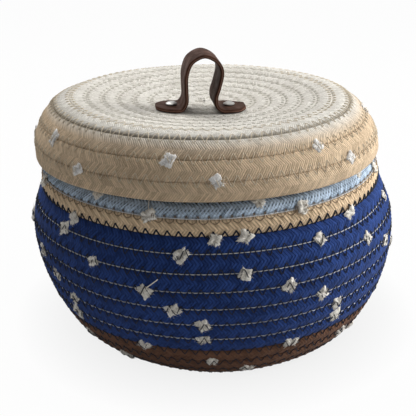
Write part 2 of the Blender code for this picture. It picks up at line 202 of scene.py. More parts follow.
def stitch_pull(coil, turn, across):
    """How far the stitches draw the rope in, and how near a needle hole is, from 0 to 1.

    A zigzag thread dips to a hole above the seam and to one below it, half a stitch further on.
    The distance to the thread's two slanted runs gives a groove, and the distance to the hole a
    deeper dent, both shallower in the lid. The seam where the lid folds over gapes all along, and
    the rim's seams gape in a dash in each stitch."""
    pull, hole = np.zeros(turn.shape), np.zeros(turn.shape)
    share = LID_STITCH_SHARE if coil.sense < 0 else 1
    for seam, side, phase in ((turn, 1, 0.5), (turn - 1, -1, 0.0)):
        up, down = stitch_reach(coil, seam)
        reach = down if side > 0 else up
        sewn = share * ((seam > coil.first) & (seam < coil.last - 1))
        ahead = np.abs((coil.stitches(seam) + phase + 0.5) % 1 - 0.5) * STITCH
        rise = side * across - (ROW_PITCH / 2 - reach)
        slant = np.clip(rise, 0, reach) / (up + down) * STITCH / 2
        groove = np.hypot(ahead - slant, np.minimum(rise, 0))
        pull = pull + sewn * STITCH_GROOVE * np.exp(-(groove / GROOVE_WIDTH) ** 2)
        dashed = np.cos(2 * math.pi * coil.stitches(seam)) > RIM_DASH_LEVEL
        dash = RIM_GAP_SHARE * dashed * (seam < coil.last - 1)
        folded = (coil.sense < 0) * np.where(seam < FOLD_SEAM[1], seam > FOLD_SEAM[0], dash)
        gape = folded * np.exp(-((ROW_PITCH / 2 - side * across) / FOLD_GAP_WIDTH) ** 2)
        pull = pull + FOLD_GAP_DEPTH * gape
        # The nearness to a hole or a gape also darkens the rope's colour later, as painted shade.
        hole = hole + gape + sewn * np.exp(-(np.hypot(ahead, rise) / HOLE_WIDTH) ** 2)
    return pull + HOLE_DEPTH * hole, np.minimum(hole, 1)


def mesh_piece(name, vertices, quads, triangles, uv, attributes=()):
    """An object from arrays: corners, faces of four, faces of three, the place of each face corner
    on the map called along, and any values that the corners carry."""
    corners = np.concatenate([quads.ravel(), triangles.ravel()])
    sizes = np.repeat([4, 3], [len(quads), len(triangles)])
    mesh = bpy.data.meshes.new(name)
    mesh.vertices.add(len(vertices))
    mesh.vertices.foreach_set("co", vertices.astype(np.float32).ravel())
    mesh.loops.add(len(corners))
    mesh.loops.foreach_set("vertex_index", corners.astype(np.int32))
    mesh.polygons.add(len(sizes))
    mesh.polygons.foreach_set("loop_start", (np.cumsum(sizes) - sizes).astype(np.int32))
    mesh.update(calc_edges=True)
    mesh.polygons.foreach_set("use_smooth", np.ones(len(sizes), bool))
    mesh.uv_layers.new(name="along").data.foreach_set("uv", uv.astype(np.float32).ravel())
    for label, values in attributes:
        held = mesh.attributes.new(label, "FLOAT", "POINT")
        held.data.foreach_set("value", values.astype(np.float32))
    made = bpy.data.objects.new(name, mesh)
    bpy.context.scene.collection.objects.link(made)
    return made


def piece_from_grid(name, points, u, v, attributes=()):
    """A tube through a grid of points, ring by ring, with its ends closed by fans."""
    rings, around = points.shape[:2]
    vertices = np.concatenate([points.reshape(-1, 3), points[[0, -1]].mean(axis=1)])
    ring, spot = np.meshgrid(np.arange(rings - 1), np.arange(around), indexing="ij")
    after = (spot + 1) % around
    quads = np.stack([ring * around + spot, ring * around + after,
                      (ring + 1) * around + after, (ring + 1) * around + spot], axis=-1).reshape(-1, 4)
    spots, last = np.arange(around), (rings - 1) * around
    turned = (spots + 1) % around
    low = np.stack([np.full(around, rings * around), turned, spots], axis=-1)
    high = np.stack([np.full(around, rings * around + 1), last + spots, last + turned], axis=-1)
    wall = np.stack([np.stack([u[ring], u[ring], u[ring + 1], u[ring + 1]], axis=-1),
                     np.stack([v[spot], v[spot + 1], v[spot + 1], v[spot]], axis=-1)], axis=-1)
    caps = np.stack([np.repeat(u[[0, -1]], 3 * around), np.zeros(6 * around)], axis=-1)
    carried = [(label, np.append(values.ravel(), [0, 0])) for label, values in attributes]
    return mesh_piece(name, vertices, quads, np.concatenate([low, high]),
                      np.concatenate([wall.reshape(-1, 2), caps]), carried)


def rope(name, coil, first, last, rim_shade=None):
    """A rope from one turn to another. Its section is a rounded oval, and each ring of its grid
    trails back from the middle to the edges, so that rings follow the strands of the braid. The
    lid's finer strands have no ridges of their own, only the material's relief."""
    span = (coil.turns >= first) & (coil.turns <= last)
    lengths = coil.lengths[span] - coil.lengths[span][0]
    count = round(lengths[-1] / STRAND * SAMPLES_PER_STRAND)
    rings = np.linspace(0, lengths[-1], count + 1)
    angles = np.radians(SECTION_DEGREES)
    power = 2 / coil.squareness
    across = ROPE_WIDTH / 2 * np.sign(np.cos(angles)) * np.abs(np.cos(angles)) ** power
    out = ROPE_THICKNESS / 2 * np.sign(np.sin(angles)) * np.abs(np.sin(angles)) ** power
    fade = np.clip(np.minimum(rings, lengths[-1] - rings) / FADE_LENGTH, 0, 1)
    trail = -coil.sense * STRAND_SLOPE * np.abs(across)
    turn = np.interp(rings[:, None] + fade[:, None] * trail, lengths, coil.turns[span])
    across, out = np.broadcast_to(across, turn.shape), np.broadcast_to(out, turn.shape)
    profile = np.array(STRAND_PROFILE) * (coil.strand == STRAND)
    ridge = profile[np.arange(count + 1) % SAMPLES_PER_STRAND, None]
    pull, hole = stitch_pull(coil, turn, across)
    swell = 1 + (STRAND_HEIGHT * ridge - pull) / np.hypot(across, out)
    points = coil.on_row(turn, across * (1 + (swell - 1) * SIDEWAYS_SWELL_SHARE), out * swell)
    girth = np.linalg.norm(np.diff(points[count // 2], axis=0, append=points[count // 2, :1]), axis=1)
    carried = [("hole", hole), ("half", across / (ROPE_WIDTH / 2))]
    # A rope given a ramp carries it as a share from its top to its rim: painted light on the top going
    # over to painted shade on the rim.
    if rim_shade is not None:
        carried.append(("rim_shade", np.interp(turn + across / ROW_PITCH, *rim_shade)))
    if coil.sense > 0:
        points, girth = points[:, ::-1], girth[::-1]
        carried = [(label, values[:, ::-1]) for label, values in carried]
    return piece_from_grid(name, points, rings / coil.strand, np.append(0, np.cumsum(girth)), carried)


def add(tree, kind, inputs=(), **properties):
    """Add a node, set its properties, and set or link its inputs, given by name or number."""
    made = tree.nodes.new(kind)
    for label, value in properties.items():
        setattr(made, label, value)
    for label, value in dict(inputs).items():
        if isinstance(value, bpy.types.NodeSocket):
            tree.links.new(value, made.inputs[label])
        else:
            made.inputs[label].default_value = value
    return made


def sums(tree, operation, *values, clamp=False):
    """One Math node on one to three numbers or sockets."""
    made = add(tree, "ShaderNodeMath", dict(enumerate(values)), operation=operation, use_clamp=clamp)
    return made.outputs[0]


def ranged(tree, value, low, high, to_low=0.0, to_high=1.0):
    """Map Range: low becomes to_low and high becomes to_high, with nothing outside them."""
    made = add(tree, "ShaderNodeMapRange", {"Value": value, 1: low, 2: high, 3: to_low, 4: to_high})
    return made.outputs[0]


def mixed(tree, share, low, high):
    """A colour between two, given as colours or sockets."""
    low, high = (c if isinstance(c, bpy.types.NodeSocket) else (*c, 1) for c in (low, high))
    return add(tree, "ShaderNodeMix", {0: share, 6: low, 7: high}, data_type="RGBA").outputs[2]


def fibres(tree, where, stretch):
    """Streaks on a map: noise with so many grains to the metre along it and across it."""
    stretched = add(tree, "ShaderNodeVectorMath", {0: where, 1: stretch}, operation="MULTIPLY")
    noise = {"Vector": stretched.outputs[0], "Scale": 1.0, "Detail": 3.0}
    return add(tree, "ShaderNodeTexNoise", noise).outputs[0]


def clouds(tree, scale, detail, roughness=0.5):
    """Noise in the object's own space, with so many grains to the metre."""
    place = add(tree, "ShaderNodeTexCoord").outputs["Object"]
    noise = {"Vector": place, "Scale": scale, "Detail": detail, "Roughness": roughness}
    return add(tree, "ShaderNodeTexNoise", noise).outputs[0]


def emboss(tree, shader, height, strength, depth):
    """Relief on a shader from a height, where 1 stands for a depth in metres."""
    bump = add(tree, "ShaderNodeBump", {"Strength": strength, "Distance": depth, "Height": height})
    tree.links.new(bump.outputs[0], shader.inputs["Normal"])


# Each strand's edge from STRAND_EDGE on, and the spot where it dives under the next, are darkened as
# painted shade.
STRAND_PHASE, STRAND_EDGE = 0.33, 0.24
STRAND_FIBRES = (6.9, 420, 1)
PLY_TWISTS = 1250
PLY_RELIEF, STREAK_RELIEF = 0.10, 0.35
PLY_TONE, STREAK_TONE, TONE_SHIFT, TONE_LEVEL = 0.25, 1.4, -1.2, 0.8
DIVE_SPOT, DIVE_FADE, DIVE_EDGE = 0.36, (0.20, 0.02), (0.22, 0.40)


def braid_group():
    """Strands across the rope's own map, which counts them: a gap at each strand's edge and a dot where
    it dives under the next, both darkened as painted shade, the twist of its yarns, loose fibres along
    it, and a tone that changes from strand to strand."""
    tree = bpy.data.node_groups.new("braided_strands", "ShaderNodeTree")
    for way, kind, labels in (("INPUT", "NodeSocketVector", ("Map",)),
                              ("INPUT", "NodeSocketFloat", ("Half", "Dive Shade", "Spread", "Gap Shade")),
                              ("OUTPUT", "NodeSocketFloat", ("Shade", "Height"))):
        for label in labels:
            tree.interface.new_socket(label, in_out=way, socket_type=kind)
    given, result = tree.nodes.new("NodeGroupInput"), tree.nodes.new("NodeGroupOutput")
    spot = add(tree, "ShaderNodeSeparateXYZ", {0: given.outputs["Map"]})
    phase = sums(tree, "ADD", spot.outputs[0], STRAND_PHASE)
    middle = sums(tree, "ABSOLUTE", sums(tree, "SUBTRACT", sums(tree, "FRACT", phase), 0.5))
    gap = ranged(tree, middle, STRAND_EDGE, 0.5)
    side = sums(tree, "GREATER_THAN", given.outputs["Half"], 0.0)
    number = add(tree, "ShaderNodeCombineXYZ", {0: sums(tree, "FLOOR", phase), 1: side})
    dye = add(tree, "ShaderNodeTexWhiteNoise", {"Vector": number.outputs[0]}, noise_dimensions="2D")
    streak = ranged(tree, fibres(tree, given.outputs["Map"], STRAND_FIBRES), 0.33, 0.67)
    swirl = sums(tree, "MULTIPLY_ADD", spot.outputs[1], PLY_TWISTS, phase)
    ply = sums(tree, "SINE", sums(tree, "MULTIPLY", swirl, 2 * math.pi))
    height = sums(tree, "MULTIPLY_ADD", gap, -1.0, 1.0)
    height = sums(tree, "MULTIPLY_ADD", ply, PLY_RELIEF, height)
    height = sums(tree, "MULTIPLY_ADD", streak, STREAK_RELIEF, height)
    toned = sums(tree, "MULTIPLY_ADD", streak, STREAK_TONE, TONE_SHIFT)
    varied = sums(tree, "ADD", dye.outputs[0], toned)
    varied = sums(tree, "MULTIPLY_ADD", ply, PLY_TONE, varied)
    lit = sums(tree, "MULTIPLY_ADD", varied, given.outputs["Spread"], TONE_LEVEL)
    aside = sums(tree, "ABSOLUTE", given.outputs["Half"])
    dive = sums(tree, "ABSOLUTE", sums(tree, "SUBTRACT", aside, DIVE_SPOT))
    dot = sums(tree, "MULTIPLY", ranged(tree, dive, *DIVE_FADE), ranged(tree, middle, *DIVE_EDGE))
    depth = sums(tree, "MAXIMUM", sums(tree, "MULTIPLY", gap, given.outputs["Gap Shade"]),
                 sums(tree, "MULTIPLY", dot, given.outputs["Dive Shade"]))
    unshaded = sums(tree, "SUBTRACT", 1.0, depth)
    tree.links.new(sums(tree, "MULTIPLY", lit, unshaded), result.inputs["Shade"])
    tree.links.new(height, result.inputs["Height"])
    return tree


braided_strands = braid_group()


def new_material(name, roughness, metallic=0.0, sheen=0.0, gloss=0.5):
    """A Principled material with its uniform values set on the shader itself."""
    made = bpy.data.materials.new(name)
    made.use_nodes = True
    shader = made.node_tree.nodes["Principled BSDF"]
    shader.inputs["Roughness"].default_value = roughness
    shader.inputs["Metallic"].default_value = metallic
    shader.inputs["Sheen Weight"].default_value = sheen
    shader.inputs["Specular IOR Level"].default_value = gloss
    return made, made.node_tree, shader


def rope_material(name, colour, deep, spread, gap, holes, relief, dive_shade=0.0, rim=None):
    """Dyed cotton: strands of its colour over a deeper tone, with painted shade in the gaps between
    strands, at the spots where they dive, and at the needle holes and gaping seams. A rope that carries
    the lid's ramp goes over from the colours of its lit top to the darker colours of its shaded rim."""
    made, tree, shader = new_material(name, 0.95, sheen=0.05, gloss=0.08)
    where = add(tree, "ShaderNodeUVMap", uv_map="along")
    half = add(tree, "ShaderNodeAttribute", attribute_name="half")
    strands = add(tree, "ShaderNodeGroup", node_tree=braided_strands)
    tree.links.new(where.outputs[0], strands.inputs["Map"])
    tree.links.new(half.outputs["Fac"], strands.inputs["Half"])
    strands.inputs["Spread"].default_value = spread
    strands.inputs["Gap Shade"].default_value = gap
    strands.inputs["Dive Shade"].default_value = dive_shade
    patch = ranged(tree, clouds(tree, 60.0, 7.0, 0.8), 0.35, 0.65, 0.75, 1.2)
    hole = add(tree, "ShaderNodeAttribute", attribute_name="hole")
    value = sums(tree, "MULTIPLY", strands.outputs["Shade"], patch)
    left = sums(tree, "MULTIPLY_ADD", hole.outputs["Fac"], -holes, 1.0)
    value = sums(tree, "MULTIPLY", value, left, clamp=True)
    if rim is not None:
        rim_shade = add(tree, "ShaderNodeAttribute", attribute_name="rim_shade")
        colour = mixed(tree, rim_shade.outputs["Fac"], colour, rim[0])
        deep = mixed(tree, rim_shade.outputs["Fac"], deep, rim[1])
    tree.links.new(mixed(tree, value, deep, colour), shader.inputs["Base Color"])
    emboss(tree, shader, strands.outputs["Height"], 0.9, relief)
    return made


# Basket coil. Floor, lowest rows, bowl, band and neck are four dyed ropes that follow each other
# along one rising spiral, from the middle of the floor to the mouth under the lid.
BASE_CUT_SHARE = 0.1
BASE_THICKNESS = 0.0070
BODY_LEANS = (90,) * 8 + (48, 34, 26, 22, 14, 9, 3, -3, -19, -32, 8, -50, -24, -6, 0)
BODY_START = 0.38 * ROW_PITCH
BODY_FIRST, BLUE_FIRST, BAND_FIRST, NECK_FIRST, BODY_LAST = -0.1, 11.52, 18.52, 19.52, 22.5
# The deep tones are both the darker strands of each cord and the painted shade in its gaps, dive spots and
# needle holes; so too in the lid.
BROWN, BROWN_DEEP = (0.205, 0.100, 0.060), (0.048, 0.024, 0.015)
BLUE, BLUE_DEEP = (0.030, 0.071, 0.260), (0.005, 0.011, 0.042)
NATURAL, NATURAL_DEEP = (0.960, 0.730, 0.480), (0.430, 0.300, 0.185)
LIGHT_BLUE, LIGHT_BLUE_DEEP = (0.620, 0.760, 0.920), (0.085, 0.110, 0.145)

body_coil = Coil(BODY_START, BASE_THICKNESS * (0.5 - BASE_CUT_SHARE), BODY_LEANS, 1, 0.0,
                 BODY_FIRST, BODY_LAST)
ropes = (
    ("base_rope", BODY_FIRST, BLUE_FIRST, "brown_rope",
     rope_material("brown_cotton", BROWN, BROWN_DEEP, spread=0.5, gap=0.4, holes=0.6, relief=0.00025)),
    ("blue_rope", BLUE_FIRST, BAND_FIRST, "blue_rope",
     rope_material("blue_cotton", BLUE, BLUE_DEEP, spread=0.6, gap=0.6, holes=0.9, relief=0.0003)),
    ("natural_band_rope", BAND_FIRST, NECK_FIRST, "natural_rope",
     rope_material("natural_cotton", NATURAL, NATURAL_DEEP, spread=0.45, gap=0.65, holes=0.95,
                   relief=0.00045)),
    ("light_blue_rope", NECK_FIRST, BODY_LAST, "light_blue_rope",
     rope_material("light_blue_cotton", LIGHT_BLUE, LIGHT_BLUE_DEEP, spread=0.6, gap=0.4, holes=1.0,
                   relief=0.0003, dive_shade=1.0)))
for node, first, last, finish, cotton in ropes:
    made = rope("braided_" + node, body_coil, first, last)
    made.data.materials.append(cotton)
    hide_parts(node)
    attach(made, "basket")


# Tufted yarn. A thin pale yarn lies in the seams of the wall. The stitches press it under where
# they cross it, so that it shows as dashes. Every 9 cm or so it swells to a fluffy tuft of loose
# cotton that the sewing thread pinches, so that its fibres fan out to four corners.
YARN_RADIUS = 0.00029
YARN_LIFT = 0.0029
YARN_STEP = 0.0008
YARN_DIP = 0.0009
YARN_DIP_SHARE = 0.10
YARN_SUNK = 0.0016
YARN_FREE_TURN, YARN_FREE_TURNS = 11.4, 0.1
YARN_SIDES = 5
TUFT_SPACING = 0.089
TUFT_SIZE = 0.0047
TUFT_RISE = 0.0014
TUFT_LIFT = 0.0032
TUFT_FOOT = 0.0008
TUFT_SAG = ((17.4, 17.6, 18.4, 18.6, 19.4, 19.6, 20.4), (0, 0.0032, 0.0032, 0, 0, 0.0036, 0.0036))
TUFT_SAG_LIFT = 0.0008
TUFT_SEED = 7
TUFT_SPINS, TUFT_SIZES, TUFT_RISES = (0.2, 1.4), (0.88, 1.15), (0.8, 1.15)
TUFT_WIDTHS, TUFT_POWERS = (0.85, 1.15), (0.9, 1.6)
TUFT_CORNER, TUFT_RAGGED, TUFT_LOPSIDED = 0.72, 0.12, (0.05, 0.25)
SPOKES = 30
CUSHION_RINGS = 6
CUSHION_FOOT_SHARE = 0.75
RIDGE = 0.0007
CREASE, CREASE_WIDTH = 0.75, 0.20
HAIRS = 64
HAIR_RADIUS = 0.00011
HAIR_STARTS, HAIR_ENDS, HAIR_CURL = (0.2, 0.8), (0.9, 1.3), 0.2
HAIR_RISES, HAIR_TIPS, HAIR_BEND = (0.3, 0.8), (-0.0002, 0.0010), 0.55
BODY_YARN_FIRST, BODY_YARN_LAST, BODY_TUFTS_LAST = 8.88, 20.1, 20.4
BODY_TUFTS = (
    (9, (-123, -78)), (10, (-138, -90, -41)), (11, (-112, -65)), (12, (-136, -92, -50)),
    (13, (-135, -92, -50)), (14, (-143, -100, -57)), (15, (-152, -108, -67, -24)),
    (16, (-167, -124, -80, -37)), (17, (-138, -97, -56, -14)), (18, (-135, -88, -79, -42)),
    (19, (-107, -61, -18)), (20, (-126, -74)))
COTTON, COTTON_DEEP = (0.940, 0.900, 0.820), (0.340, 0.290, 0.230)
YARN, YARN_DEEP = (0.700, 0.710, 0.730), (0.400, 0.410, 0.430)
COTTON_FIBRES = (350, 2600, 1)


def lengths_along(path):
    """Length from the start of a path to each of its points."""
    return np.append(0, np.cumsum(np.linalg.norm(np.diff(path, axis=0), axis=1)))


def tube(name, path, radius, up, sides):
    """A round tube along a path: a ring at each point, square to the path's own direction."""
    ahead = np.gradient(path, axis=0)
    ahead /= np.linalg.norm(ahead, axis=1, keepdims=True) + 1e-12
    side = np.cross(ahead, up)
    side /= np.linalg.norm(side, axis=1, keepdims=True) + 1e-12
    above = np.cross(side, ahead)
    angle = np.linspace(0, 2 * math.pi, sides, endpoint=False)[:, None]
    points = path[:, None] + radius * (np.cos(angle) * side[:, None] + np.sin(angle) * above[:, None])
    around = np.arange(sides + 1) / sides * 2 * math.pi * radius
    return piece_from_grid(name, points, lengths_along(path), around)


def yarn(name, coil, first, last, radius, lift):
    """The yarn's tube lies a little out of the seam, deeper where it starts, and dips under each
    crossing of the zigzag by exp(-d^2), with d its distance in shares of a stitch."""
    span = (coil.turns >= first) & (coil.turns <= last)
    lengths = coil.seams[span] - coil.seams[span][0]
    steps = np.linspace(0, lengths[-1], round(lengths[-1] / YARN_STEP))
    turn = np.interp(steps, lengths, coil.turns[span])
    sunk = YARN_SUNK * (1 - np.clip((turn - YARN_FREE_TURN) / YARN_FREE_TURNS, 0, 1))
    crossed = STITCH_UP / (STITCH_UP + STITCH_DOWN) / 2
    away = np.abs(np.abs((coil.stitches(turn) + 0.5) % 1 - 0.5) - crossed) / YARN_DIP_SHARE
    path, out, _ = coil.on_seam(turn, lift - sunk - YARN_DIP * np.exp(-away ** 2))
    return tube(name, path, radius, out, YARN_SIDES)


def tuft_turn(coil, row, degrees):
    """Turn of the spot on the seam after a row that lies at an angle; -90 faces the front."""
    return row + coil.sense * (degrees + 90) / 360


def tuft_turns(coil, first, last, shown):
    """Turns of all the tufts: those that show, and between them the rest at even lengths."""
    seen = sorted(tuft_turn(coil, row, degrees) for row, angles in shown for degrees in angles)
    marks = [first] + seen + [last]
    found = []
    for low, high in zip(marks, marks[1:]):
        length = np.diff(np.interp([low, high], coil.turns, coil.seams))[0]
        count = max(round(length / TUFT_SPACING), 1)
        found += [low + (high - low) * index / count for index in range(count)]
    return np.array(found[1:])


def cushions(edge, spin, dice):
    """Tufts as pinched cushions, in their own flat frame: along, across and out. The top swells as
    (1 - s^2)^0.6 from the rim to a dip in the middle, with a ridge for each fan of fibres."""
    count, steps = len(edge), CUSHION_RINGS
    theta = np.linspace(0, 2 * math.pi, SPOKES, endpoint=False)[:, None]
    share = np.sin(np.linspace(0, 1, steps + 1)[1:] * math.pi / 2)
    ridge = dice.uniform(-RIDGE, RIDGE, (count, SPOKES, 1)) * np.sin(share * math.pi * 0.8)
    crease = CREASE * np.exp(-(np.sin(theta - spin[:, :, None]) * share / CREASE_WIDTH) ** 2)
    rise = TUFT_RISE * dice.uniform(*TUFT_RISES, (count, 1, 1))
    swell = rise * (1 - share ** 2) ** 0.6 * (1 - crease) + ridge
    lift = np.concatenate([swell, np.full((count, SPOKES, 1), -TUFT_FOOT)], axis=2)
    flat = edge[:, :, None] * np.append(share, CUSHION_FOOT_SHARE)
    rings = np.stack([flat * np.cos(theta), flat * np.sin(theta), lift], axis=-1).reshape(count, -1, 3)
    poles = np.broadcast_to([[0, 0, TUFT_RISE / 2], [0, 0, -TUFT_FOOT]], (count, 2, 3))
    levels = steps + 1
    spoke, level = np.meshgrid(np.arange(SPOKES), np.arange(levels - 1), indexing="ij")
    after = (spoke + 1) % SPOKES
    quads = np.stack([spoke * levels + level, spoke * levels + level + 1,
                      after * levels + level + 1, after * levels + level], axis=-1).reshape(-1, 4)
    rim = np.arange(SPOKES)
    turned, top = (rim + 1) % SPOKES, SPOKES * levels
    cap = np.stack([np.full(SPOKES, top), rim * levels, turned * levels], axis=-1)
    foot = np.stack([np.full(SPOKES, top + 1), turned * levels + steps, rim * levels + steps], axis=-1)
    return np.concatenate([rings, poles], axis=1), quads, np.concatenate([cap, foot])


def hairs(edge, dice):
    """Loose fibres of each tuft, in the same frame: three-sided spikes that start on the cushion,
    bend over its rim, and end a little past it."""
    count = len(edge)
    way = dice.uniform(0, 2 * math.pi, (count, HAIRS))
    reach = np.take_along_axis(edge, (way / (2 * math.pi) * SPOKES).astype(int) % SPOKES, axis=1)
    start = reach * dice.uniform(*HAIR_STARTS, way.shape)
    end = reach * dice.uniform(*HAIR_ENDS, way.shape)
    curl = dice.normal(0, HAIR_CURL, way.shape)
    high = TUFT_RISE * dice.uniform(*HAIR_RISES, way.shape)
    low = dice.uniform(*HAIR_TIPS, way.shape)
    steps = []
    for share in (0.0, HAIR_BEND, 1.0):
        far, bearing = start + (end - start) * share, way + curl * share
        steps.append(np.stack([far * np.cos(bearing), far * np.sin(bearing),
                               high * (1 - share ** 2) + low * share], axis=-1))
    side = HAIR_RADIUS * np.stack([-np.sin(way), np.cos(way), 0 * way], axis=-1)
    corners = (side, -side, np.broadcast_to([0, 0, HAIR_RADIUS * 1.3], side.shape))
    spikes = np.stack([steps[0] + corner for corner in corners]
                      + [steps[1] + 0.8 * corner for corner in corners] + [steps[2]], axis=2)
    starts = np.arange(HAIRS)[:, None, None] * 7
    quads = starts + np.array([(0, 3, 4, 1), (1, 4, 5, 2), (2, 5, 3, 0)])
    triangles = starts + np.array([(3, 6, 4), (4, 6, 5), (5, 6, 3), (0, 1, 2)])
    return spikes.reshape(count, -1, 3), quads.reshape(-1, 4), triangles.reshape(-1, 3)


def tufts(name, coil, turns, seed):
    """All the tufts of a yarn. The rim of each has four corners, r = size * 0.72 / m^p, where m is
    the larger of w |cos| and |sin| / w: a rectangle for p = 1, and a pinwheel for a larger p. Its
    map runs along the fibres, which lie square to its crease. At the band's lower edge and under
    the lid the tufts hang down over the row below."""
    dice = np.random.default_rng(seed)
    centre, out, ahead = coil.on_seam(turns, TUFT_LIFT)
    sag = np.interp(turns, *TUFT_SAG)
    hung = coil.on_row(turns, ROW_PITCH / 2 - sag, TUFT_LIFT + TUFT_SAG_LIFT)
    centre = np.where(sag[:, None] > 0, hung, centre)
    across = np.cross(out, ahead)
    count = len(turns)
    theta = np.linspace(0, 2 * math.pi, SPOKES, endpoint=False)
    spin = dice.uniform(*TUFT_SPINS, (count, 1))
    size = TUFT_SIZE * dice.uniform(*TUFT_SIZES, (count, 1))
    wide = dice.uniform(*TUFT_WIDTHS, (count, 1))
    power = dice.uniform(*TUFT_POWERS, (count, 1))
    reach = np.maximum(wide * np.abs(np.cos(theta - spin)), np.abs(np.sin(theta - spin)) / wide)
    heavy = dice.uniform(*TUFT_LOPSIDED, (count, 1))
    lopsided = heavy * np.cos(theta - dice.uniform(0, 2 * math.pi, (count, 1)))
    ragged = dice.uniform(-TUFT_RAGGED, TUFT_RAGGED, (count, SPOKES))
    edge = size * (TUFT_CORNER / reach ** power + lopsided + ragged)
    core, core_quads, core_triangles = cushions(edge, spin, dice)
    fluff, fluff_quads, fluff_triangles = hairs(edge, dice)
    local = np.concatenate([core, fluff], axis=1)
    base = np.arange(count)[:, None, None] * local.shape[1]
    quads = base + np.concatenate([core_quads, core.shape[1] + fluff_quads])
    triangles = base + np.concatenate([core_triangles, core.shape[1] + fluff_triangles])
    spots = centre[:, None] + sum(local[..., axis:axis + 1] * way[:, None]
                                  for axis, way in enumerate((ahead, across, out)))
    along = -local[..., 0] * np.sin(spin) + local[..., 1] * np.cos(spin)
    beside = local[..., 0] * np.cos(spin) + local[..., 1] * np.sin(spin)
    chart = np.stack([along, beside], axis=-1).reshape(-1, 2)
    corners = np.concatenate([quads.ravel(), triangles.ravel()])
    return mesh_piece(name, spots.reshape(-1, 3), quads.reshape(-1, 4), triangles.reshape(-1, 3),
                      chart[corners])


def cotton_material(name, colour, deep):
    """Loose cotton: soft light and dark streaks along its fibres."""
    made, tree, shader = new_material(name, 0.95, sheen=0.25, gloss=0.1)
    where = add(tree, "ShaderNodeUVMap", uv_map="along")
    streak = fibres(tree, where.outputs[0], COTTON_FIBRES)
    tone = mixed(tree, ranged(tree, streak, 0.30, 0.50), deep, colour)
    tree.links.new(tone, shader.inputs["Base Color"])
    emboss(tree, shader, streak, 0.8, 0.0004)
    return made


fluffy_cotton = cotton_material("fluffy_cotton", COTTON, COTTON_DEEP)
made = yarn("seam_yarn_basket", body_coil, BODY_YARN_FIRST, BODY_YARN_LAST, YARN_RADIUS, YARN_LIFT)
made.data.materials.append(cotton_material("spun_cotton", YARN, YARN_DEEP))
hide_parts("tufted_yarn_basket")
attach(made, "basket")
body_tufts = tuft_turns(body_coil, BODY_YARN_FIRST, BODY_TUFTS_LAST, BODY_TUFTS)
made = tufts("tufts_basket", body_coil, body_tufts, TUFT_SEED)
made.data.materials.append(fluffy_cotton)
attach(made, "basket")


# Loose ends. Two ends of the yarn have come free of their tufts on the front, and lie up over the
# next row of rope.
LOOSE_RADIUS = 0.00032
LOOSE_HUMP = 0.0012
LOOSE_STEPS, LOOSE_SIDES = 12, 6
LOOSE_ENDS = (("loose_yarn_end_low", 15, -108, 0.0090, 0.0078),
              ("loose_yarn_end_high", 19, -107, -0.0014, 0.0094))


def loose_end(name, coil, turn, run, climb):
    """A free end of yarn: from its tuft it runs ahead and climbs over the row above in a hump."""
    share = np.linspace(0, 1, LOOSE_STEPS)
    ahead = turn + 1 + coil.sense * run * share / (2 * math.pi * coil.seam(turn)[0])
    across = climb * share - ROW_PITCH / 2
    face = np.maximum(rope_rise(coil, across), YARN_LIFT) + LOOSE_RADIUS
    path = coil.on_row(ahead, across, face + LOOSE_HUMP * np.sin(share * math.pi * 0.8))
    up = np.broadcast_to(coil.on_seam(turn, 0.0)[1], path.shape)
    return tube(name, path, LOOSE_RADIUS, up, LOOSE_SIDES)


for name, row, degrees, run, climb in LOOSE_ENDS:
    made = loose_end(name, body_coil, tuft_turn(body_coil, row, degrees), run, climb)
    made.data.materials.append(fluffy_cotton)
    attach(made, "basket")


# Sewing thread. Each seam is closed by a zigzag stitch of strong thread, which dips into a needle
# hole above the seam, crosses the yarn and any tuft, and dips into the next hole below it. It is
# dark up to the band's lower edge, where it is thicker, natural along the band's upper edge, slate
# in the neck, and cream and tan in the lid.
THREAD_RADIUS = 0.00030
BAND_THREAD_RADIUS = 0.00048
FINE_THREAD_RADIUS = 0.00022
THREAD_SINK = 0.0012
THREAD_SIDES = 4
THREAD_LATE, COLOUR_LAG = 0.1, 0.02
ROPE_REST_SHARE, YARN_REST_SHARE = 0.5, 0.4
ROW_CHANGE = 0.0002
THREAD_DEEP_SHARE, THREAD_SLANT = 0.55, 0.7
SEAM_CROSSING_SHARE = STITCH_UP / (STITCH_UP + STITCH_DOWN)
RUN_SHARES = (0.0, 0.08, 0.26, SEAM_CROSSING_SHARE, 0.70, 0.92)


def zigzag(name, coil, first, last, radius, pinched=(), outside=1):
    """The thread's path, half a stitch after half a stitch: s, the distance above the seam, goes
    from the upper needle hole to the lower one and back. The thread lies on the rope's face, on
    the yarn at the seam, and on the round top of each tuft that it pinches."""
    halves = np.arange(math.ceil(coil.stitches(first) * 2), math.floor(coil.stitches(last) * 2))
    fall = np.array(RUN_SHARES)
    climb = np.append(0, 1 - fall[:0:-1])
    falling = (halves % 2 == 0)[:, None]
    share = np.where(falling, fall, climb)
    count = ((halves[:, None] + share) / 2).ravel()
    depth = np.where(falling, share, 1 - share).ravel()
    turn = np.interp(count * STITCH, coil.seams, coil.turns)
    up, down = stitch_reach(coil, turn)
    s = up - depth * (up + down)
    face = rope_rise(coil, ROW_PITCH / 2 - np.abs(s)) + radius * ROPE_REST_SHARE
    face = np.where(np.abs(s) < YARN_RADIUS, YARN_LIFT + radius * YARN_REST_SHARE, face)
    if len(pinched):
        away = np.abs(turn[:, None] - pinched).min(axis=1) * 2 * math.pi * coil.seam(turn)[0]
        dome = 1 - (away ** 2 + s ** 2) / TUFT_SIZE ** 2
        face = np.maximum(face, (dome > 0) * (TUFT_LIFT + TUFT_RISE * np.maximum(dome, 0) ** 0.5))
    hole = (depth < 0.001) | (depth > 0.999)
    face = outside * (face - THREAD_SINK * hole)
    below = coil.on_row(turn, ROW_PITCH / 2 + np.minimum(s, 0), face)
    above = coil.on_row(turn + 1, np.maximum(s, 0) - ROW_PITCH / 2, face)
    share_above = np.clip(s / ROW_CHANGE + 0.5, 0, 1)[:, None]
    path = below * (1 - share_above) + above * share_above
    return tube(name, path, radius, coil.on_seam(turn, 0.0)[1], THREAD_SIDES)


